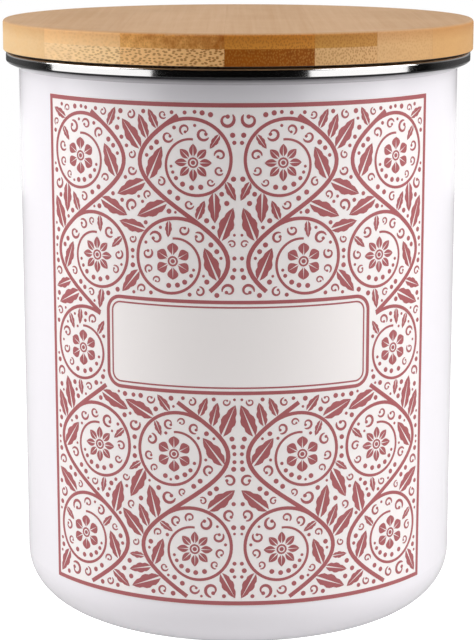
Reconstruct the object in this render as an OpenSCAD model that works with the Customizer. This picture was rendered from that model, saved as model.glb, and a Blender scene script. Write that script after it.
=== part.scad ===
// Biscuit tin: a drawn and enamelled steel canister with a stainless rim rolled round its lip,
// and a lift-off lid glued up from bamboo strips, with a turned plug and a finned silicone seal.
// Millimetres, Z up. The origin is the centre of the base on the table, and the print faces -Y.

/* [Canister] */
// Outside diameter of the straight wall
body_d = 142; // [110:1:190]
// Height from the table to the top of the steel rim
body_h = 181.5; // [120:0.5:260]
// Thickness of the enamelled sheet
sheet_t = 1.2; // [0.8:0.1:2]
// Outside radius of the rounded base edge
base_edge_r = 16; // [8:0.5:20]
// Width of the flat ring that the tin stands on
foot_w = 7; // [4:0.5:12]
// How far the middle of the base is pressed up
base_lift = 2; // [1:0.25:4]
// Outside radius of the bend where the wall turns out into the lip
lip_bend_r = 1.2; // [0.8:0.1:2]

/* [Rim] */
// How far the rim stands out from the wall
rim_out = 4.1; // [3.5:0.1:7]
// Height of the upright face of the rim, with its rolled corners
rim_face_h = 3; // [2.6:0.1:6]
// Drop of the sloping underside that closes in on the wall
rim_drop = 2; // [1:0.1:4]
// Thickness of the stainless strip
rim_t = 0.5; // [0.3:0.05:0.7]
// Outside radius of the rolled corners
rim_corner_r = 0.8; // [0.7:0.1:1.2]
// Room between the edge of the strip and the enamel of the wall
rim_seat_gap = 0.1; // [0.05:0.05:0.3]

/* [Lid] */
// How far the lid reaches out past the rim
lid_reach = 0.8; // [0:0.1:4]
// Shadow gap between the rim and the underside of the lid, which rides on its seal
lid_gap = 0.5; // [0.2:0.1:0.8]
// Thickness of the upper layer of strips
upper_t = 4.5; // [3:0.1:8]
// Thickness of the lower layer of strips
lower_t = 5.3; // [3:0.1:8]
// Radius of the upper edge
lid_top_edge_r = 1; // [0.3:0.1:2.5]
// Chamfer of the lower edge
lid_chamfer = 0.3; // [0.2:0.1:2]
// Widths of the bamboo strips, left to right, as parts of the width of the lid
strip_parts = [17.3, 24, 30.6, 26.3, 18.7, 17.7, 17.2]; // [12:0.1:40]

/* [Plug and seal] */
// Depth of the plug that hangs below the lid
plug_t = 9.5; // [7:0.5:16]
// Room between the plug and the wall of the canister
plug_gap = 1.5; // [1:0.1:3]
// Radius of the lower edge of the plug
plug_edge_r = 1; // [0.5:0.1:2]
// Height of the groove that holds the seal
groove_h = 4; // [3:0.1:4.6]
// Depth of the groove
groove_depth = 2.2; // [1.5:0.1:3]
// Room round the root of the seal in its groove
seal_seat_gap = 0.1; // [0.05:0.05:0.2]
// Thickness of a fin of the seal
fin_t = 0.8; // [0.5:0.1:1]
// Room between the tips of the fins and the wall
fin_gap = 0.3; // [0.2:0.05:0.6]
// How far a fin rises to its tip
fin_rise = 0.5; // [0:0.1:0.8]

/* [Print] */
// Width of the printed panel, measured round the wall
print_w = 134.4; // [60:0.2:200]
// Bare wall between the rim and the panel
print_top_margin = 5.1; // [2:0.1:30]
// Bare wall between the rounded base edge and the panel
print_low_margin = 0.5; // [0.3:0.1:30]
// Thickness of the fired transfer
print_t = 0.1; // [0.05:0.01:0.2]
// Room between the transfer and the wall
print_seat_gap = 0.02; // [0.01:0.01:0.05]

/* [Hidden] */
$fn = 96;
rim_corner_steps = 8;
body_r = body_d / 2;
mouth_r = body_r - sheet_t;
rim_r = body_r + rim_out;
rim_low_z = body_h - rim_face_h - rim_drop;
rim_slope = atan2(rim_drop, rim_out - rim_seat_gap);
rim_corner_x = rim_r - rim_corner_r;
rim_corner_z = body_h - rim_face_h + rim_corner_r * (1 - sin(rim_slope)) / cos(rim_slope);
lip_z = body_h - rim_t;
lip_r = rim_corner_x;
foot_r = body_r - base_edge_r;
lid_r = rim_r + lid_reach;
lid_z = body_h + lid_gap;
lid_t = upper_t + lower_t;
plug_r = mouth_r - plug_gap;
groove_z = lid_z - (plug_t + groove_h) / 2;
print_z = base_edge_r + print_low_margin;
print_h = rim_low_z - print_top_margin - print_z;
print_angle = print_w / body_r * 180 / PI;

// Edges of the strips, from the left of the lid to its right. The plug has the same joints.
strips = len(strip_parts);
function parts_up_to(i) = i == 0 ? 0 : parts_up_to(i - 1) + strip_parts[i - 1];
lid_edges = [for (i = [0 : strips]) (2 * parts_up_to(i) / parts_up_to(strips) - 1) * lid_r];
plug_edges = [-plug_r, for (i = [1 : strips - 1]) lid_edges[i], plug_r];

// Tones of the bamboo, left to right
honey = [0.87, 0.71, 0.50];
straw = [0.84, 0.67, 0.42];
toast = [0.66, 0.44, 0.22];
umber = [0.48, 0.28, 0.09];
upper_tones = [honey, honey, toast, toast, toast, honey, honey];
lower_tones = [honey, honey, straw, umber, straw, honey, honey];
plug_tones = [straw, honey, straw, honey, toast, honey, straw];

// Half section of the drawn shape: upright wall, rounded edge and flat bottom, filled to the axis.
// A positive inset gives the inside of the sheet.
module drawn_section(inset, top_z) {
  translate([0, base_edge_r]) square([body_r - inset, top_z - base_edge_r]);
  translate([0, inset]) square([foot_r, top_z - inset]);
  translate([foot_r, base_edge_r]) circle(base_edge_r - inset);
}

// The pressed-up middle of the base, a flat dish with a sloping side, from height z
module base_dish(z) {
  dish_r = foot_r - foot_w;
  polygon([[0, z], [dish_r, z], [dish_r - base_lift, z + base_lift], [0, z + base_lift]]);
}

// The lip: the sheet bends out over a quarter turn, runs flat and ends in a round edge.
module lip_section() {
  bend_x = body_r + lip_bend_r;
  bend_z = lip_z - sheet_t - lip_bend_r;
  edge_r = sheet_t / 2;
  translate([bend_x, lip_z - sheet_t]) square([lip_r - edge_r - bend_x, sheet_t]);
  translate([lip_r - edge_r, lip_z - edge_r]) circle(edge_r);
  intersection() {
    translate([mouth_r, bend_z]) square([sheet_t + lip_bend_r, sheet_t + lip_bend_r]);
    difference() {
      translate([bend_x, bend_z]) circle(lip_bend_r + sheet_t);
      translate([bend_x, bend_z]) circle(lip_bend_r);
    }
  }
}

// Drawn shell, enamelled all over: one sheet from the pressed base to the turned-out lip
module canister_shell() {
  wall_top_z = lip_z - sheet_t - lip_bend_r;
  color("white") rotate_extrude() {
    difference() {
      drawn_section(0, wall_top_z);
      base_dish(0);
      difference() {
        drawn_section(sheet_t, body_h);
        base_dish(sheet_t);
      }
    }
    lip_section();
  }
}

// Points round a rolled corner whose centre is at height z
function rolled_corner(z, r, from_angle, to_angle) = [
  for (k = [0 : rim_corner_steps])
    let (a = from_angle + (to_angle - from_angle) * k / rim_corner_steps)
    [rim_corner_x + r * cos(a), z + r * sin(a)]
];

// The point where the side of the underside that passes a corner at radius r ends at the wall
function underside_end(r) =
  let (x = body_r + rim_seat_gap, run = rim_corner_x + r * sin(rim_slope) - x)
  [x, rim_corner_z - r * cos(rim_slope) - run * tan(rim_slope)];

// Polished stainless strip rolled round the lip: a flat land under the edge of the lid, an upright
// face, and a sloping underside that closes in on the wall
module rim_band() {
  land_x = body_r + lip_bend_r;
  inner_r = rim_corner_r - rim_t;
  upper_z = body_h - rim_corner_r;
  low_angle = rim_slope - 90;
  color("silver") rotate_extrude() polygon(concat(
    [[land_x, body_h]],
    rolled_corner(upper_z, rim_corner_r, 90, 0),
    rolled_corner(rim_corner_z, rim_corner_r, 0, low_angle),
    [underside_end(rim_corner_r), underside_end(inner_r)],
    rolled_corner(rim_corner_z, inner_r, low_angle, 0),
    rolled_corner(upper_z, inner_r, 0, 90),
    [[land_x, body_h - rim_t]]
  ));
}

// Fired transfer: the thin panel that carries the print, bent round the front of the wall
module print_panel() {
  color("rosybrown") rotate([0, 0, -90 - print_angle / 2]) rotate_extrude(angle = print_angle)
    translate([body_r + print_seat_gap, print_z]) square([print_t, print_h]);
}

// The lid as it is turned: a disc with a rounded upper edge and a small chamfer below
module lid_disc() {
  round_x = lid_r - lid_top_edge_r;
  translate([0, 0, lid_z]) rotate_extrude() {
    polygon([
      [0, 0],
      [lid_r - lid_chamfer, 0],
      [lid_r, lid_chamfer],
      [lid_r, lid_t - lid_top_edge_r],
      [round_x, lid_t],
      [0, lid_t]
    ]);
    translate([round_x, lid_t - lid_top_edge_r]) circle(lid_top_edge_r);
  }
}

// The slot that strip number i of a layer fills, from joint to joint, over the layer's height
module strip_slot(x_edges, i, z, h) {
  reach = x_edges[len(x_edges) - 1];
  translate([x_edges[i - 1], -reach, z]) cube([x_edges[i] - x_edges[i - 1], 2 * reach, h]);
}

// One strip of the upper layer, turned to the lid's outline with its neighbours
module lid_upper_strip(i) {
  color(upper_tones[i - 1]) intersection() {
    lid_disc();
    strip_slot(lid_edges, i, lid_z + lower_t, upper_t);
  }
}

// One strip of the lower layer, whose flat underside stays just clear of the rim
module lid_lower_strip(i) {
  color(lower_tones[i - 1]) intersection() {
    lid_disc();
    strip_slot(lid_edges, i, lid_z, lower_t);
  }
}

// The plug as it is turned: a disc with a rounded lower edge and a groove for the seal
module plug_disc() {
  difference() {
    rotate_extrude() {
      translate([0, lid_z - plug_t + plug_edge_r]) square([plug_r, plug_t - plug_edge_r]);
      translate([0, lid_z - plug_t]) square([plug_r - plug_edge_r, plug_t]);
      translate([plug_r - plug_edge_r, lid_z - plug_t + plug_edge_r]) circle(plug_edge_r);
    }
    rotate_extrude() translate([plug_r - groove_depth, groove_z]) square([2 * groove_depth, groove_h]);
  }
}

// One strip of the plug, glued under the lower layer
module plug_strip(i) {
  color(plug_tones[i - 1]) intersection() {
    plug_disc();
    strip_slot(plug_edges, i, lid_z - plug_t, plug_t);
  }
}

// Half section of one fin, which leans up from the seal's root to a blunt tip
module fin_section(z) {
  root_r = plug_r - groove_depth / 2;
  tip_r = mouth_r - fin_gap;
  polygon([[root_r, z], [tip_r, z + fin_rise], [tip_r, z + fin_rise + fin_t], [root_r, z + fin_t]]);
}

// Silicone seal: a flat root in the groove and two fins that wipe the mouth
module seal_ring() {
  root_h = groove_h - 2 * seal_seat_gap;
  root_z = groove_z + seal_seat_gap;
  color("whitesmoke") rotate_extrude() {
    translate([plug_r - groove_depth + seal_seat_gap, root_z])
      square([groove_depth - seal_seat_gap, root_h]);
    fin_section(root_z);
    fin_section(root_z + root_h - fin_t - fin_rise);
  }
}

canister_shell();
rim_band();
print_panel();
for (i = [1 : strips]) {
  lid_upper_strip(i);
  lid_lower_strip(i);
  plug_strip(i);
}
seal_ring();
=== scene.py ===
import math

import bmesh
import bpy
import numpy as np
from mathutils import Matrix, Vector


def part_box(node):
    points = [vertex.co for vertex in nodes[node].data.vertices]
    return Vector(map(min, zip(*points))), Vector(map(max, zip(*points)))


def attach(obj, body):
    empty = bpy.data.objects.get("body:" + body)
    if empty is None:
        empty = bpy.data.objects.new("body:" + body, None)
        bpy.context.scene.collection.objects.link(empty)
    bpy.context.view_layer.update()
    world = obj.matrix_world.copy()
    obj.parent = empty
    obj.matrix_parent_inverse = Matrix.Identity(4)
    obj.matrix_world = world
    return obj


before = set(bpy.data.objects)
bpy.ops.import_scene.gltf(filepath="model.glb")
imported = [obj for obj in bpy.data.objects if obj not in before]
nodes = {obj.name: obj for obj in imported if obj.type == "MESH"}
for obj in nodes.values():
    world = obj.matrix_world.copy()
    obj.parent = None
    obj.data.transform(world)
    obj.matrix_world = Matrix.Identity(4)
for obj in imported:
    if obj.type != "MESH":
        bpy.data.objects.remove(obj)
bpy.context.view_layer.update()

# Canister shell: one cup drawn from steel sheet, with a rounded base edge, a pressed-up middle and a
# turned-out lip. It is dipped and fired in white enamel inside and out, a glassy coat that flows into
# very low ripples and is scuffed a little grey where the foot stands.
MM = 0.001
enamel_white = (0.86, 0.832, 0.87, 1)
enamel_shade = (0.82, 0.793, 0.83, 1)
enamel_thin = (0.55, 0.56, 0.60, 1)
enamel_cloud = 14
enamel_ripple = 260
enamel_rough = (0.12, 0.2)
enamel_ior = 1.52
ripple_strength = 0.06
ripple_depth = 0.1 * MM
foot_worn_to = 0.9 * MM
foot_worn_from = 0.2 * MM


def new_finish(name):
    """A node material, its tree and the shader at its end."""
    finish = bpy.data.materials.new(name)
    finish.use_nodes = True
    return finish, finish.node_tree, finish.node_tree.nodes["Principled BSDF"]


def add_node(tree, kind, inputs=(), **settings):
    """Adds a node, sets its menus, and sets or links its sockets."""
    node = tree.nodes.new("ShaderNode" + kind)
    for key, value in settings.items():
        setattr(node, key, value)
    for socket, value in dict(inputs).items():
        if isinstance(value, bpy.types.NodeSocket):
            tree.links.new(value, node.inputs[socket])
        else:
            node.inputs[socket].default_value = value
    return node


def noise(tree, place, scale, detail, rough=0.5):
    """A cloudy pattern about 0.5."""
    inputs = {"Vector": place, "Scale": scale, "Detail": detail, "Roughness": rough}
    return add_node(tree, "TexNoise", inputs).outputs["Fac"]


def ramp(tree, value, start, end, low=0, high=1, **settings):
    """Goes from low to high as the value goes from start to end."""
    inputs = {"Value": value, "From Min": start, "From Max": end, "To Min": low, "To Max": high}
    return add_node(tree, "MapRange", inputs, **settings).outputs["Result"]


def reckon(tree, operation, *values):
    """The result of a sum on one to three values."""
    return add_node(tree, "Math", enumerate(values), operation=operation).outputs["Value"]


def blend(tree, share, first, second, data_type="RGBA", blend_type="MIX"):
    """Mixes two colours, or two numbers, by a share."""
    inputs = {"Factor": share, "A": first, "B": second}
    return add_node(tree, "Mix", inputs, data_type=data_type, blend_type=blend_type).outputs["Result"]


def emboss(tree, height, strength, depth, **under):
    """The normal of a surface with a pattern pressed into it."""
    inputs = {"Height": height, "Strength": strength, "Distance": depth, **under}
    return add_node(tree, "Bump", inputs).outputs["Normal"]


def coat(tree, shader, **patterns):
    """Links patterns to the sockets of the shader that they are named after."""
    for socket, pattern in patterns.items():
        tree.links.new(pattern, shader.inputs[socket.replace("_", " ")])


def wear(node, finish):
    """Gives a CAD node its finish."""
    node.data.materials.clear()
    node.data.materials.append(finish)


enamel, tree, shader = new_finish("white_enamel")
place = add_node(tree, "TexCoord").outputs["Object"]
cloud = noise(tree, place, enamel_cloud, detail=3)
body_colour = blend(tree, cloud, enamel_shade, enamel_white)
height = add_node(tree, "SeparateXYZ", {"Vector": place}).outputs["Z"]
at_foot = ramp(tree, height, foot_worn_to, foot_worn_from)
scuff = noise(tree, place, enamel_ripple, detail=4)
worn = blend(tree, reckon(tree, "MULTIPLY", at_foot, scuff), body_colour, enamel_thin)
dull = ramp(tree, cloud, 0, 1, *enamel_rough)
ripple = emboss(tree, scuff, ripple_strength, ripple_depth)
coat(tree, shader, Base_Color=worn, Roughness=dull, Normal=ripple)
shader.inputs["IOR"].default_value = enamel_ior
wear(nodes["canister_shell"], enamel)

# Rim: a strip of stainless steel rolled round the turned-out lip, polished so that it mirrors the room,
# with the fine lines that the rolling wheel leaves along it. Below its face the colour holds painted
# shade: a near-black line at the lower corner, and from there an underside that grows lighter towards
# the wall but stays darker than the face.
steel_bright = (0.78, 0.77, 0.76, 1)
steel_dull = (0.70, 0.69, 0.69, 1)
# Painted shade: a near-black line at the rim's lower corner, and a darker underside below it.
corner_painted_shade = (0.025, 0.025, 0.027, 1)
underside_painted_shade = (0.60, 0.59, 0.60, 1)
steel_rough = (0.07, 0.12)
steel_smear = 40
rim_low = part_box("rim_band")[0]
corner_high = rim_low.z + 2.56 * MM
corner_low = rim_low.z + 1.8 * MM
corner_fade = 0.15 * MM
under_fade = 1.2 * MM
roll_wobble = 55
wobble_strength = 0.5
wobble_depth = 0.3 * MM
roll_lines = (6, 6, 2600)
line_strength = 0.04
line_depth = 0.05 * MM

stainless, tree, shader = new_finish("polished_stainless")
place = add_node(tree, "TexCoord").outputs["Object"]
tint = blend(tree, noise(tree, place, steel_smear, detail=3), steel_dull, steel_bright)
height = add_node(tree, "SeparateXYZ", {"Vector": place}).outputs["Z"]
# Painted shade by height: near-black below the face, then lighter down the underside towards the wall.
corner_shade_mask = ramp(tree, height, corner_high, corner_high - corner_fade)
corner_shaded = blend(tree, corner_shade_mask, tint, corner_painted_shade)
underside_shade_mask = ramp(tree, height, corner_low, corner_low - under_fade)
under = blend(tree, underside_shade_mask, corner_shaded, underside_painted_shade)
along = add_node(tree, "Mapping", {"Vector": place, "Scale": roll_lines}).outputs["Vector"]
lines = noise(tree, along, scale=1, detail=2)
shine = ramp(tree, lines, 0, 1, *steel_rough)
rolled = emboss(tree, noise(tree, place, roll_wobble, detail=1), wobble_strength, wobble_depth)
scored = emboss(tree, lines, line_strength, line_depth, Normal=rolled)
coat(tree, shader, Base_Color=under, Roughness=shine, Normal=scored)
shader.inputs["Metallic"].default_value = 1
wear(nodes["rim_band"], stainless)

# Ground of the printed panel: a transfer film of off-white glaze, laid on the front of the wall and
# fired into the enamel, a little warmer and flatter than the enamel round it.
ground_light = (0.88, 0.835, 0.825, 1)
ground_dark = (0.872, 0.827, 0.817, 1)
ground_cloud = 25
ground_rough = (0.27, 0.3)
ground_grain = 900
grain_strength = 0.05
grain_depth = 0.05 * MM

ground, tree, shader = new_finish("transfer_ground")
place = add_node(tree, "TexCoord").outputs["Object"]
cloud = noise(tree, place, ground_cloud, detail=2)
tint = blend(tree, cloud, ground_dark, ground_light)
dull = ramp(tree, cloud, 0, 1, *ground_rough)
tooth = emboss(tree, noise(tree, place, ground_grain, detail=2), grain_strength, grain_depth)
coat(tree, shader, Base_Color=tint, Roughness=dull, Normal=tooth)
wear(nodes["print_panel"], ground)

# Printed border: one line of dusty red ceramic ink round the edge of the film. All the ink is screened
# on flat, so each printed piece is drawn flat in millimetres and then bent round the wall.
panel_low, panel_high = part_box("print_panel")
film_r = -panel_low.y
panel_mid = (panel_low.z + panel_high.z) / 2
panel_half_w = film_r * math.asin(panel_high.x / film_r) / MM
panel_half_h = (panel_high.z - panel_mid) / MM
border_inset = 0.15
border_line = 1.3
ink_thick = 0.04 * MM
ink_clear = 0.01 * MM
bend_step = 2.6
bend_sharp = math.radians(40)
cut_within = 1e-5
ink_red = (0.352, 0.091, 0.097, 1)
ink_pale = (0.405, 0.118, 0.126, 1)
ink_patch = 120
ink_patch_rough = 0.65
ink_rough = (0.3, 0.45)
ink_specular = 0.3
screen_mesh = 1500
screen_strength = 0.08
screen_depth = 0.04 * MM

ink, tree, shader = new_finish("red_ceramic_ink")
place = add_node(tree, "TexCoord").outputs["Object"]
patch = noise(tree, place, ink_patch, detail=5, rough=ink_patch_rough)
tint = blend(tree, patch, ink_red, ink_pale)
dull = ramp(tree, patch, 0, 1, *ink_rough)
tooth = emboss(tree, noise(tree, place, screen_mesh, detail=1), screen_strength, screen_depth)
coat(tree, shader, Base_Color=tint, Roughness=dull, Normal=tooth)
shader.inputs["Specular IOR Level"].default_value = ink_specular


def whole(flat):
    """Every point, edge and face of a drawing."""
    return flat.verts[:] + flat.edges[:] + flat.faces[:]


def print_on_wall(flat, name):
    """Bends a flat drawing in millimetres round the wall, thickens it and lets it ride on the canister."""
    bends = int(panel_half_w / bend_step)
    for k in range(-bends, bends + 1):
        bmesh.ops.bisect_plane(flat, geom=whole(flat), dist=cut_within, plane_co=(k * bend_step, 0, 0),
                               plane_no=(1, 0, 0))
    flat.normal_update()
    bmesh.ops.reverse_faces(flat, faces=[face for face in flat.faces if face.normal.z < 0])
    ink_r = film_r + ink_clear + ink_thick
    for vert in flat.verts:
        turn = vert.co.x * MM / film_r
        vert.co = (ink_r * math.sin(turn), -ink_r * math.cos(turn), panel_mid + vert.co.y * MM)
    flat.normal_update()
    bmesh.ops.solidify(flat, geom=flat.faces[:], thickness=ink_thick)
    mesh = bpy.data.meshes.new(name)
    flat.to_mesh(mesh)
    flat.free()
    mesh.shade_smooth()
    mesh.set_sharp_from_angle(angle=bend_sharp)
    mesh.materials.append(ink)
    piece = bpy.data.objects.new(name, mesh)
    bpy.context.scene.collection.objects.link(piece)
    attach(piece, "canister")


def cut_sheet(half_w, half_h):
    """A drawing of one rectangle, and its corners."""
    flat = bmesh.new()
    corners = bmesh.ops.create_grid(flat, x_segments=1, y_segments=1, size=1)["verts"]
    bmesh.ops.scale(flat, vec=(half_w, half_h, 1), verts=corners)
    return flat, corners


def line_round(flat, outline, thickness):
    """Leaves only a line of that thickness along the inside of the outline, and gives the face inside it."""
    bmesh.ops.inset_region(flat, faces=[outline], thickness=thickness, use_even_offset=True,
                           use_boundary=True)
    return outline


flat, corners = cut_sheet(panel_half_w - border_inset, panel_half_h - border_inset)
inside = line_round(flat, flat.faces[:][0], border_line)
bmesh.ops.delete(flat, geom=[inside], context="FACES")
print_on_wall(flat, "print_border")

# Blank label: an empty field with round corners a little above the middle of the panel, inside a
# double line of the same ink. The scrollwork stops short of it.
label_half_w = 42.5
label_half_h = 14.5
label_up = 3.8
label_corner = 5
label_corner_steps = 10
label_outer_line = 1.1
label_white_line = 0.8
label_inner_line = 0.5

flat, corners = cut_sheet(label_half_w, label_half_h)
bmesh.ops.translate(flat, vec=(0, label_up, 0), verts=corners)
bmesh.ops.bevel(flat, geom=corners, offset=label_corner, offset_type="OFFSET", segments=label_corner_steps,
                profile=0.5, affect="VERTICES", material=-1)
field = line_round(flat, flat.faces[:][0], label_outer_line)
kept = set(flat.faces) - {field}
field = line_round(flat, field, label_white_line)
white_line = set(flat.faces) - kept - {field}
field = line_round(flat, field, label_inner_line)
bmesh.ops.delete(flat, geom=[*white_line, field], context="FACES")
print_on_wall(flat, "print_label")

# Scrollwork stems: on each half of the panel two stems wave up from the foot of the border, and in each
# bend a branch leaves the stem and rolls up into a scroll. They are ink lines, and the two halves mirror
# each other. A map of the right half keeps the room that is left round every printed spot.
field_half_w = panel_half_w - border_inset - border_line
field_half_h = panel_half_h - border_inset - border_line
scroll_rows = 5
row_pitch = 29.8
stem_mids = (16.6, 49.2)
stem_swing = 13.6
stem_half = 0.66
branch_half = 0.56
branch_end_half = 0.34
stem_step = 1.5
stem_end_gap = 1.0
shortest_run = 4
scroll_start = math.radians(45)
scroll_turn = math.radians(405)
scroll_start_r = 14.1
scroll_end_r = 6.9
scroll_steps = 64
scroll_ease = 0.85
bay_shift = 3.2
label_gap = 1.0
mirror_gap = 0.3
room_cell = 0.25

room_u, room_v = np.meshgrid(np.arange(room_cell / 2, field_half_w, room_cell),
                             np.arange(-field_half_h + room_cell / 2, field_half_h, room_cell), indexing="ij")
label_du = np.maximum(room_u - label_half_w + label_corner, 0)
label_dv = np.maximum(np.abs(room_v - label_up) - label_half_h + label_corner, 0)
label_away = np.hypot(label_du, label_dv) - label_corner
mirror_away = room_u + mirror_gap
room = np.minimum(np.minimum(field_half_w - room_u, field_half_h - np.abs(room_v)),
                  np.minimum(label_away, mirror_away))


def room_index(u, v):
    """The cell of the room map at a place on the right half of the panel."""
    i = min(max(int(u / room_cell), 0), room.shape[0] - 1)
    j = min(max(int((v + field_half_h) / room_cell), 0), room.shape[1] - 1)
    return i, j


def take_room(u, v, radius):
    """Marks a round spot as printed, so that later motifs keep clear of it."""
    np.minimum(room, np.hypot(room_u - u, room_v - v) - radius, out=room)


def draw_stroke(flat, path):
    """Draws a brush stroke along (place, half width) pairs by extruding its leading edge."""
    lead = None
    for k, (spot, half) in enumerate(path):
        ahead = path[min(k + 1, len(path) - 1)][0] - path[max(k - 1, 0)][0]
        across = Vector((-ahead.y, ahead.x)).normalized() * half
        left, right = (spot + across).to_3d(), (spot - across).to_3d()
        if lead is None:
            ends = [flat.verts.new(left), flat.verts.new(right)]
            lead = flat.edges.new(ends)
        else:
            made = bmesh.ops.extrude_edge_only(flat, edges=[lead])["geom"]
            fresh = [part for part in made if isinstance(part, bmesh.types.BMVert)]
            was_left = ends[0].co.copy()
            ends = sorted(fresh, key=lambda vert: (vert.co - was_left).length)
            ends[0].co, ends[1].co = left, right
            lead = next(part for part in made if isinstance(part, bmesh.types.BMEdge)
                        and all(vert in fresh for vert in part.verts))


def outside_label(path):
    """Cuts a path where it reaches the label and gives the runs that are left."""
    runs, run = [], []
    for spot, half in path:
        if label_away[room_index(spot.x, spot.y)] > half + label_gap:
            run.append((spot, half))
        elif run:
            runs.append(run)
            run = []
    return [run for run in [*runs, run] if len(run) >= shortest_run]


row_mids = [row_pitch * (row - (scroll_rows - 1) / 2) for row in range(scroll_rows)]
stem_runs = []
bays = []
for column, mid in enumerate(stem_mids):
    stem = []
    for k in range(int(2 * (field_half_h - stem_end_gap) / stem_step) + 1):
        v = -field_half_h + stem_end_gap + k * stem_step
        swing = stem_swing * (-1) ** column * math.cos(math.pi * (v - row_mids[0]) / row_pitch)
        stem.append((Vector((mid + swing, v)), stem_half))
    stem_runs += outside_label(stem)
    for row, v in enumerate(row_mids):
        side = (-1) ** (column + row)
        middle = Vector((mid - side * bay_shift, v))
        scroll = []
        for k in range(scroll_steps + 1):
            share = k / scroll_steps
            turn = scroll_start + scroll_turn * share
            reach = scroll_start_r + (scroll_end_r - scroll_start_r) * share ** scroll_ease
            half = branch_half + (branch_end_half - branch_half) * share
            scroll.append((middle + reach * Vector((side * math.cos(turn), math.sin(turn))), half))
        stem_runs += outside_label(scroll)
        bays.append(middle)

flat = bmesh.new()
for run in stem_runs:
    draw_stroke(flat, run)
    for spot, half in run:
        take_room(spot.x, spot.y, half)
bmesh.ops.mirror(flat, geom=whole(flat), axis="X", merge_dist=-1)
print_on_wall(flat, "print_stems")

# Rosettes: a flower of ink in the middle of every scroll, of two kinds by turns, with cut petals round a
# ring and a seed. Each kind is cut once as a die and then stamped in its places.
rosette_r = 5.6
rosette_ring = (0.19, 0.29)
rosette_seed = 0.12
ring_steps = 12
blade_steps = 9
blade_rib = 0.035
blade_round = 0.8
merge_within = 0.004


def blade_half(share, half_width, swell):
    """Half the width of a leaf or petal at a share of its length."""
    return half_width * math.sin(math.pi * min(share ** swell, 1)) ** blade_round


def cut_blade(flat, root, half_width, swell, lobes=0, lobe_depth=0):
    """A leaf or petal from its root to 1 along +X as two half blades, with a bare midrib between them."""
    for side in (1, -1):
        half_blade = bmesh.ops.create_grid(flat, x_segments=blade_steps, y_segments=1, size=0.5)["verts"]
        for vert in half_blade:
            share, out = vert.co.x + 0.5, vert.co.y + 0.5
            inner = blade_rib * (1 - share)
            wave = 1 + lobe_depth * math.cos(2 * math.pi * lobes * share)
            outer = max(inner, blade_half(share, half_width, swell) * wave)
            vert.co = (root + (1 - root) * share, side * (inner + (outer - inner) * out), 0)


def cut_ring(flat, inner, outer):
    """A flat ring, or a disc where the inner radius is nothing."""
    ends = [flat.verts.new((inner, 0, 0)), flat.verts.new((outer, 0, 0))]
    bmesh.ops.spin(flat, geom=[*ends, flat.edges.new(ends)], cent=(0, 0, 0), axis=(0, 0, 1),
                   angle=2 * math.pi, steps=ring_steps, use_merge=True)


def close_die(flat, name):
    """Merges the points of a drawing and keeps it as a die for stamping."""
    bmesh.ops.remove_doubles(flat, verts=flat.verts[:], dist=merge_within)
    bmesh.ops.dissolve_degenerate(flat, edges=flat.edges[:], dist=merge_within)
    die = bpy.data.meshes.new(name)
    flat.to_mesh(die)
    flat.free()
    return die


def stamp(flat, die, u, v, turn, size):
    """Stamps a die on the right half and its mirror image on the left half."""
    for hand in (1, -1):
        placing = (Matrix.Diagonal((hand, 1, 1, 1)) @ Matrix.Translation((u, v, 0))
                   @ Matrix.Rotation(turn, 4, "Z") @ Matrix.Diagonal((size, size, 1, 1)))
        pressed = die.copy()
        pressed.transform(placing)
        flat.from_mesh(pressed)
        bpy.data.meshes.remove(pressed)


def rosette_die(name, petals, root, half_width, swell):
    """A flower of one radius, with its petals, ring and seed."""
    flat = bmesh.new()
    cut_blade(flat, root, half_width, swell)
    bmesh.ops.spin(flat, geom=whole(flat), cent=(0, 0, 0), axis=(0, 0, 1),
                   angle=2 * math.pi * (petals - 1) / petals, steps=petals - 1, use_duplicate=True)
    cut_ring(flat, *rosette_ring)
    cut_ring(flat, 0, rosette_seed)
    return close_die(flat, name)


star_die = rosette_die("star_rosette", petals=8, root=0.34, half_width=0.21, swell=0.9)
round_die = rosette_die("round_rosette", petals=6, root=0.33, half_width=0.31, swell=1.3)

flat = bmesh.new()
for k, middle in enumerate(bays):
    if label_away[room_index(middle.x, middle.y)] > rosette_r:
        stamp(flat, (star_die, round_die)[k % 2], middle.x, middle.y, math.pi / 2, rosette_r)
        take_room(middle.x, middle.y, rosette_r)
print_on_wall(flat, "print_rosettes")

# Leaves: lobed lance leaves of ink with a bare midrib, in several lengths, growing from both sides of the
# stems and scrolls wherever there is room for them.
leaf_lengths = (10.5, 9, 7.5, 6.2, 5, 4)
leaf_half_width = 0.205
leaf_swell = 0.8
leaf_lobes = 3
leaf_lobe_depth = -0.14
leaf_spreads = [math.radians(angle) for angle in (48, 34, 62, 22, 76)]
leaf_every = 2
leaf_root_gap = 0.1
leaf_gap = 0.68
leaf_checks = (0.3, 0.45, 0.6, 0.75, 0.9, 1.0)

flat = bmesh.new()
cut_blade(flat, 0, leaf_half_width, leaf_swell, leaf_lobes, leaf_lobe_depth)
leaf_die = close_die(flat, "lance_leaf")


def leaf_spots(root, ahead, length):
    """Round spots that cover a leaf, from its lower third to its tip."""
    for share in leaf_checks:
        yield root + ahead * length * share, blade_half(share, leaf_half_width * length, leaf_swell)


def grow_leaf(flat, root, along, side, length):
    """Stamps one leaf at the first spread that has room for it, if any has."""
    for spread in leaf_spreads:
        turn = math.atan2(along.y, along.x) + side * spread
        spots = list(leaf_spots(root, Vector((math.cos(turn), math.sin(turn))), length))
        if all(room[room_index(*spot)] > reach + leaf_gap for spot, reach in spots):
            stamp(flat, leaf_die, root.x, root.y, turn, length)
            for spot, reach in spots:
                take_room(spot.x, spot.y, reach)
            return


flat = bmesh.new()
for length in leaf_lengths:
    for run in stem_runs:
        for k in range(leaf_every, len(run) - 1, leaf_every):
            spot, half = run[k]
            along = (run[k + 1][0] - run[k - 1][0]).normalized()
            for side in (1, -1):
                root = spot + side * Vector((-along.y, along.x)) * (half + leaf_root_gap)
                grow_leaf(flat, root, along, side, length)
print_on_wall(flat, "print_leaves")

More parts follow.
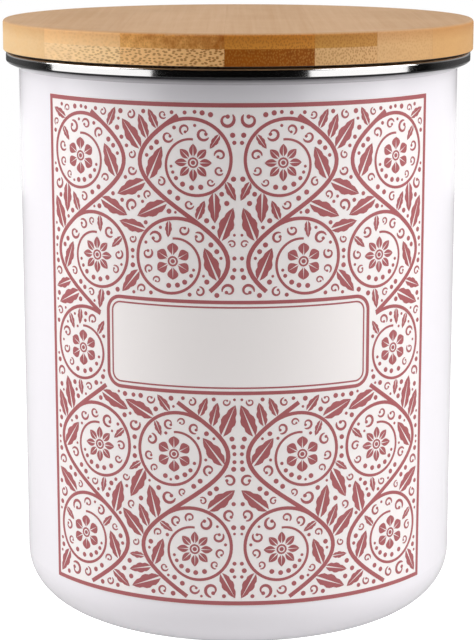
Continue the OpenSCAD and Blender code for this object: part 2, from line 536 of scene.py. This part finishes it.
# Tendrils and seeds: what is left of the ground is filled, widest gap first, with curled tendrils of ink
# that end in a bead, and where there is no room for a tendril with a single seed.
fill_gap = 0.78
tendril_r = (1.35, 2.9)
seed_r = (0.42, 0.8)
golden_turn = math.pi * (3 - math.sqrt(5))
tendril_steps = 16
tendril_turn = math.radians(330)
tendril_start_r = 0.88
tendril_winding = 0.5
tendril_thin = 0.06
tendril_swell = 0.13
tendril_ease = 0.6
bead_r = 0.24
bead_steps = 10
seed_steps = 9

flat = bmesh.new()
curl = []
for k in range(tendril_steps + 1):
    share = k / tendril_steps
    turn = tendril_turn * share
    reach = tendril_start_r - tendril_winding * share
    half = tendril_thin + tendril_swell * math.sin(math.pi * share ** tendril_ease)
    curl.append((reach * Vector((math.cos(turn), math.sin(turn))), half))
draw_stroke(flat, curl)
bead = bmesh.ops.create_circle(flat, cap_ends=True, segments=bead_steps, radius=bead_r)["verts"]
bmesh.ops.translate(flat, vec=curl[-1][0].to_3d(), verts=bead)
tendril_die = close_die(flat, "tendril")

flat = bmesh.new()
bmesh.ops.create_circle(flat, cap_ends=True, segments=seed_steps, radius=1)
seed_die = close_die(flat, "seed")

tendrils = bmesh.new()
seeds = bmesh.new()
count = 0
while True:
    i, j = np.unravel_index(np.argmax(room), room.shape)
    u, v, reach = room_u[i, j], room_v[i, j], room[i, j] - fill_gap
    if reach < seed_r[0]:
        break
    count += 1
    if reach > tendril_r[0]:
        size = min(reach, tendril_r[1])
        stamp(tendrils, tendril_die, u, v, count * golden_turn, size)
    else:
        size = min(reach, seed_r[1])
        stamp(seeds, seed_die, u, v, 0, size)
    take_room(u, v, size)
print_on_wall(tendrils, "print_tendrils")
print_on_wall(seeds, "print_seeds")
for die in (star_die, round_die, leaf_die, tendril_die, seed_die):
    bpy.data.meshes.remove(die)

# Lid and plug: strips of bamboo laid edge to edge and glued in layers, then turned round and oiled. The
# edges of the top layer grow darker towards its top. The fibres run from front to back: their cut ends
# stipple the front and back edges, and the top shows them as faint streaks. The top and bottom faces take
# a tone of their own, darker than most of the edges, as painted shade, and the lowest edge of the lid is
# painted near black as the shadow of the gap between lid and rim.
# Painted shade: the top and bottom faces of every strip take these tones, darker than most of the edges.
face_light = (0.472, 0.294, 0.164, 1)
face_dark = (0.416, 0.249, 0.1272, 1)
top_darkening_tint = (0.82, 0.69, 0.57, 1)
# Painted shadow: a near-black band on the lid's lowest edge, for the shadow of the gap above the rim.
gap_shadow_brown = (0.012, 0.006, 0.003, 1)
fibre_brown = (0.25, 0.09, 0.015, 1)
fibre_tan = (0.40, 0.17, 0.03, 1)
coarse_fibres = (740, 1320)
fine_fibres = (1500, 1050)
soft_fibres = (900, 900)
# Each tone: its left and right colours, fibres to the metre across and up, depth of the dots, their colour.
end_tones = {
    "cream": ((0.68, 0.477, 0.257, 1), (0.69, 0.436, 0.208, 1), soft_fibres, 0.14, fibre_brown),
    "honey": ((0.765, 0.497, 0.246, 1), (0.83, 0.497, 0.222, 1), soft_fibres, 0.14, fibre_brown),
    "oat": ((0.71, 0.475, 0.26, 1), (0.92, 0.622, 0.302, 1), coarse_fibres, 0.6, fibre_brown),
    "gold": ((0.593, 0.353, 0.158, 1), (0.544, 0.314, 0.134, 1), fine_fibres, 0.3, fibre_brown),
    "maize": ((0.575, 0.328, 0.132, 1), (0.535, 0.30, 0.121, 1), fine_fibres, 0.3, fibre_brown),
    "straw": ((0.9, 0.54, 0.235, 1), (0.66, 0.37, 0.144, 1), coarse_fibres, 0.88, fibre_brown),
    "flax": ((0.635, 0.385, 0.168, 1), (0.57, 0.325, 0.138, 1), fine_fibres, 0.6, fibre_brown),
    "amber": ((0.885, 0.485, 0.147, 1), (0.33, 0.09, 0.005, 1), fine_fibres, 0.35, fibre_brown),
    "toast": ((0.53, 0.262, 0.054, 1), (0.44, 0.212, 0.049, 1), fine_fibres, 0.5, fibre_brown),
    "brown": ((0.565, 0.235, 0.039, 1), (0.52, 0.206, 0.0255, 1), fine_fibres, 0.6, fibre_brown),
    "umber": ((0.31, 0.083, 0.003, 1), (0.215, 0.054, 0.002, 1), fine_fibres, 0.6, fibre_tan),
}
upper_tones = ("cream", "honey", "amber", "brown", "toast", "gold", "maize")
lower_tones = ("cream", "oat", "straw", "umber", "flax", "gold", "maize")
plug_tones = ("straw", "honey", "straw", "honey", "toast", "honey", "straw")
tone_step = math.sqrt(2)
tone_spread = 0.5
strip_shift = Vector((0.037, 0.083, 0.051))
layer_shift = 10
fibre_drift = (40, 9, 40)
fibre_wander = (0.5 * MM,) * 3
fibre_scatter = 0.9
streak_scale = (420, 9, 420)
streak_rough = 0.6
streak_strength = 0.2
streak_depth = 0.1 * MM
pattern_range = (0.32, 0.68)
oil_cloud = 45
oil_share = 0.65
dense_share = 0.5
dense_dots = 0.65
dot_edge = (0.42, 0.22)
dots_along = 0.03
end_turn = (0.45, 0.95)
face_turn = (0.3, 0.9)
gap_shadow_turn = (0.95, 0.8)
gap_shadow_height = 0.32 * MM
gap_shadow_fade = 0.08 * MM
glue_line = 0.10 * MM
glue_share = 0.25
bamboo_rough = (0.38, 0.56)
bamboo_specular = 0.15


def bamboo(name, tones, offset, low, high, gap_shadow, top_darkening, own_tone):
    """Bamboo of one strip, with streaks and fibre ends of its own, glue lines, edges that may darken towards
    their top, a darker tone on its top and bottom faces as painted shade, and a painted gap shadow at its
    foot.
    """
    light, dark, fibres, dot_depth, fibre = tones
    finish, tree, shader = new_finish(name)
    coords = add_node(tree, "TexCoord")
    place = coords.outputs["Object"]
    spot = add_node(tree, "SeparateXYZ", {"Vector": place}).outputs
    turned = add_node(tree, "SeparateXYZ", {"Vector": coords.outputs["Normal"]}).outputs
    facing = reckon(tree, "ABSOLUTE", turned["Y"])
    level = reckon(tree, "ABSOLUTE", turned["Z"])

    own = add_node(tree, "Mapping", {"Vector": place, "Location": offset}).outputs["Vector"]
    drift = add_node(tree, "Mapping", {"Vector": own, "Scale": fibre_drift}).outputs["Vector"]
    wander = add_node(tree, "TexNoise", {"Vector": drift, "Scale": 1, "Detail": 1}).outputs["Color"]
    bent = add_node(tree, "VectorMath", {0: wander, 1: fibre_wander, 2: own}, operation="MULTIPLY_ADD")
    bent = bent.outputs["Vector"]
    broad = add_node(tree, "Mapping", {"Vector": bent, "Scale": streak_scale}).outputs["Vector"]
    streaks = noise(tree, broad, scale=1, detail=5, rough=streak_rough)
    shade = ramp(tree, streaks, *pattern_range)

    oiled = ramp(tree, noise(tree, place, oil_cloud, detail=3), *pattern_range)
    patch = blend(tree, oil_share, shade, oiled, data_type="FLOAT")
    # Painted shade: the top and bottom faces get the darker face tones.
    face = blend(tree, reckon(tree, "ADD", patch, own_tone), face_light, face_dark)

    dense = ramp(tree, spot["X"], low.x, high.x)
    tone = blend(tree, dense_share, shade, dense, data_type="FLOAT")
    edge = blend(tree, tone, light, dark)
    # The edges of the top layer grow darker towards its top.
    rise = ramp(tree, spot["Z"], low.z, high.z, 0, top_darkening)
    outer = blend(tree, rise, edge, top_darkening_tint, blend_type="MULTIPLY")
    on_face = ramp(tree, level, *face_turn, interpolation_type="SMOOTHSTEP")
    wood = blend(tree, on_face, outer, face)

    parts = add_node(tree, "SeparateXYZ", {"Vector": bent}).outputs
    section = add_node(tree, "CombineXYZ", {"X": parts["X"], "Y": parts["Z"]}).outputs["Vector"]
    cut = add_node(tree, "Mapping", {"Vector": section, "Scale": (*fibres, 1)}).outputs["Vector"]
    bundles = add_node(tree, "TexVoronoi", {"Vector": cut, "Scale": 1, "Randomness": fibre_scatter},
                       voronoi_dimensions="2D")
    dot = ramp(tree, bundles.outputs["Distance"], *dot_edge)
    end_grain = ramp(tree, facing, *end_turn, interpolation_type="SMOOTHSTEP")
    on_end = ramp(tree, end_grain, 0, 1, dots_along, dot_depth)
    crowd = ramp(tree, dense, 0, 1, dense_dots, 1)
    deep = reckon(tree, "MULTIPLY", on_end, crowd)
    dotted = blend(tree, reckon(tree, "MULTIPLY", dot, deep), wood, fibre)

    from_left = reckon(tree, "SUBTRACT", spot["X"], low.x)
    from_right = reckon(tree, "SUBTRACT", high.x, spot["X"])
    from_joint = reckon(tree, "MINIMUM", from_left, from_right)
    glued = blend(tree, ramp(tree, from_joint, glue_line, 0, 0, glue_share), dotted, fibre_brown)

    # Painted shadow of the gap between lid and rim, on the upright faces of the lowest edge.
    gap_shadow_mask = ramp(tree, spot["Z"], low.z + gap_shadow, low.z + gap_shadow - gap_shadow_fade)
    upright = ramp(tree, level, *gap_shadow_turn)
    finished = blend(tree, reckon(tree, "MULTIPLY", gap_shadow_mask, upright), glued, gap_shadow_brown)
    dull = ramp(tree, streaks, 0, 1, *bamboo_rough)
    relief = emboss(tree, streaks, streak_strength, streak_depth)
    coat(tree, shader, Base_Color=finished, Roughness=dull, Normal=relief)
    shader.inputs["Specular IOR Level"].default_value = bamboo_specular
    return finish


for layer, tones, gap_shadow, top_darkening in (("lid_upper", upper_tones, 0, 1), ("lid_lower", lower_tones, gap_shadow_height, 0),
                                  ("plug", plug_tones, 0, 0)):
    for k, tone in enumerate(tones, 1):
        name = f"{layer}_strip_{k}"
        offset = strip_shift * (k + layer_shift * len(layer))
        own_tone = tone_spread * ((k * tone_step) % 1 - 0.5)
        wear(nodes[name], bamboo(f"{layer}_bamboo_{k}", end_tones[tone], offset, *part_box(name), gap_shadow, top_darkening,
                                 own_tone))

# Seal: a moulded ring of milky silicone with thin fins, sprung into the groove of the plug. Its skin is
# dull and slightly cloudy, as it comes from the mould.
silicone_milky = (0.80, 0.80, 0.77, 1)
silicone_clear = (0.72, 0.73, 0.71, 1)
silicone_cloud = 90
silicone_rough = (0.42, 0.55)

silicone, tree, shader = new_finish("milky_silicone")
place = add_node(tree, "TexCoord").outputs["Object"]
cloud = noise(tree, place, silicone_cloud, detail=3)
tint = blend(tree, cloud, silicone_clear, silicone_milky)
dull = ramp(tree, cloud, 0, 1, *silicone_rough)
coat(tree, shader, Base_Color=tint, Roughness=dull)
wear(nodes["seal_ring"], silicone)

# Floor: a round pale table top, plain, seen only from above. Its paint glows: as white as the room to the
# camera, and for the rest more weakly, most of it close to the front of the tin, a painted glow that
# lights the tin from below.
floor_r = 0.95
floor_steps = 96
floor_white = (0.40, 0.40, 0.40, 1)
floor_grey = (0.38, 0.38, 0.38, 1)
floor_cloud = 6
floor_rough = 0.8
floor_lift = 1.0
# Painted light: the glow that the floor sheds on the tin, stronger in front and close to it.
floor_glow_front = 0.48
floor_glow_behind = 0.12
floor_front = 0.1
floor_near = 0.16
floor_far = 0.42
floor_far_share = 0.2
pure_white = (1, 1, 1, 1)

flat = bmesh.new()
bmesh.ops.create_circle(flat, cap_ends=True, segments=floor_steps, radius=floor_r)
mesh = bpy.data.meshes.new("floor")
flat.to_mesh(mesh)
flat.free()
floor_paint, tree, shader = new_finish("floor_paint")
place = add_node(tree, "TexCoord").outputs["Object"]
tint = blend(tree, noise(tree, place, floor_cloud, detail=2), floor_grey, floor_white)
ahead = add_node(tree, "SeparateXYZ", {"Vector": place}).outputs["Y"]
glow_ahead = ramp(tree, ahead, 0, -floor_front, floor_glow_behind, floor_glow_front)
out = add_node(tree, "VectorMath", {0: place}, operation="LENGTH").outputs["Value"]
near = ramp(tree, out, floor_near, floor_far, 1, floor_far_share)
thrown = reckon(tree, "MULTIPLY", glow_ahead, near)
seen = add_node(tree, "LightPath").outputs["Is Camera Ray"]
glow = reckon(tree, "MULTIPLY_ADD", seen, floor_lift, thrown)
coat(tree, shader, Base_Color=tint, Emission_Strength=glow)
shader.inputs["Roughness"].default_value = floor_rough
shader.inputs["Emission Color"].default_value = pure_white
below = add_node(tree, "BsdfTransparent")
facing = add_node(tree, "NewGeometry").outputs["Backfacing"]
one_sided = add_node(tree, "MixShader", {0: facing, 1: shader.outputs["BSDF"], 2: below.outputs["BSDF"]})
tree.links.new(one_sided.outputs["Shader"], tree.nodes["Material Output"].inputs["Surface"])
mesh.materials.append(floor_paint)
floor = bpy.data.objects.new("floor", mesh)
bpy.context.scene.collection.objects.link(floor)

# Light: at each side a low soft box that only the polished rim mirrors, a high one and a small one close to
# the wall, then one above the front and two behind. They stand in a white room that is dark in front, so
# that the middle of the rim stays dark.
light_middle = Vector((0, 0, 0.1))
room_front = 0.001
room_back = 0.5
room_below = 0.1
room_floor = 1.6
room_turn = (0.25, 0.85)
room_rise = (-0.1, 0.15)
room_foot = (-0.095, -0.11)


def soft_box(name, azimuth, elevation, distance, width, tall, power, on_matt=True, on_gloss=True):
    """A rectangular light that faces the middle of the canister. Azimuth 0 is in front, 90 to its right."""
    lamp = bpy.data.lights.new(name, "AREA")
    lamp.shape = "RECTANGLE"
    lamp.size, lamp.size_y, lamp.energy = width, tall, power
    box = bpy.data.objects.new(name, lamp)
    a, e = math.radians(azimuth), math.radians(elevation)
    towards = Vector((math.sin(a) * math.cos(e), -math.cos(a) * math.cos(e), math.sin(e)))
    box.location = light_middle + towards * distance
    box.rotation_euler = towards.to_track_quat("Z", "Y").to_euler()
    box.visible_camera = False
    box.visible_diffuse = on_matt
    box.visible_glossy = on_gloss
    bpy.context.scene.collection.objects.link(box)


soft_box("low_left_box", azimuth=-69.5, elevation=4, distance=1.0, width=1.13, tall=0.42, power=1.93,
         on_matt=False)
soft_box("low_right_box", azimuth=60, elevation=4, distance=1.0, width=1.03, tall=0.42, power=1.79,
         on_matt=False)
soft_box("high_left_box", azimuth=-84, elevation=30, distance=1.1, width=0.85, tall=0.9, power=9)
soft_box("high_right_box", azimuth=73, elevation=30, distance=1.1, width=0.85, tall=0.9, power=9.7)
soft_box("near_left_box", azimuth=-76, elevation=20, distance=0.32, width=0.2, tall=0.1, power=0.21,
         on_gloss=False)
soft_box("near_right_box", azimuth=72, elevation=20, distance=0.32, width=0.2, tall=0.1, power=0.16,
         on_gloss=False)
soft_box("front_top_box", azimuth=0, elevation=70, distance=1.1, width=1.0, tall=0.5, power=6, on_gloss=False)
soft_box("back_left_box", azimuth=-130, elevation=35, distance=1.1, width=0.8, tall=0.7, power=2,
         on_gloss=False)
soft_box("back_right_box", azimuth=130, elevation=35, distance=1.1, width=0.8, tall=0.7, power=2,
         on_gloss=False)

world = bpy.data.worlds.new("white_room")
world.use_nodes = True
bpy.context.scene.world = world
tree = world.node_tree
view = add_node(tree, "TexCoord").outputs["Generated"]
towards = add_node(tree, "SeparateXYZ", {"Vector": view}).outputs
behind = ramp(tree, towards["Y"], *room_turn, room_front, room_back)
above = ramp(tree, towards["Z"], *room_rise, room_below, 1)
beyond = ramp(tree, towards["Z"], *room_foot, 0, room_floor)
back = reckon(tree, "MULTIPLY", behind, reckon(tree, "ADD", above, beyond))
seen = add_node(tree, "LightPath").outputs["Is Camera Ray"]
strength = blend(tree, seen, back, 1, data_type="FLOAT")
background = tree.nodes["Background"]
background.inputs["Color"].default_value = pure_white
tree.links.new(strength, background.inputs["Strength"])
bpy.context.scene.view_settings.view_transform = "Standard"

# Camera: in front and a little above, looking slightly down, as the photograph was taken. The lens, place
# and tilt come from a fit to the outlines of the wall, the rim and the lid.
lens = 117.864
sensor = 36
camera_place = (0, -0.68474, 0.23425)
camera_tilt = math.radians(90 - 11.77)
shift_right = -1.17 / 640

eye = bpy.data.cameras.new("eye")
eye.lens = lens
eye.sensor_width = sensor
eye.shift_x = shift_right
camera = bpy.data.objects.new("camera", eye)
camera.location = camera_place
camera.rotation_euler = (camera_tilt, 0, 0)
bpy.context.scene.collection.objects.link(camera)
bpy.context.scene.camera = camera
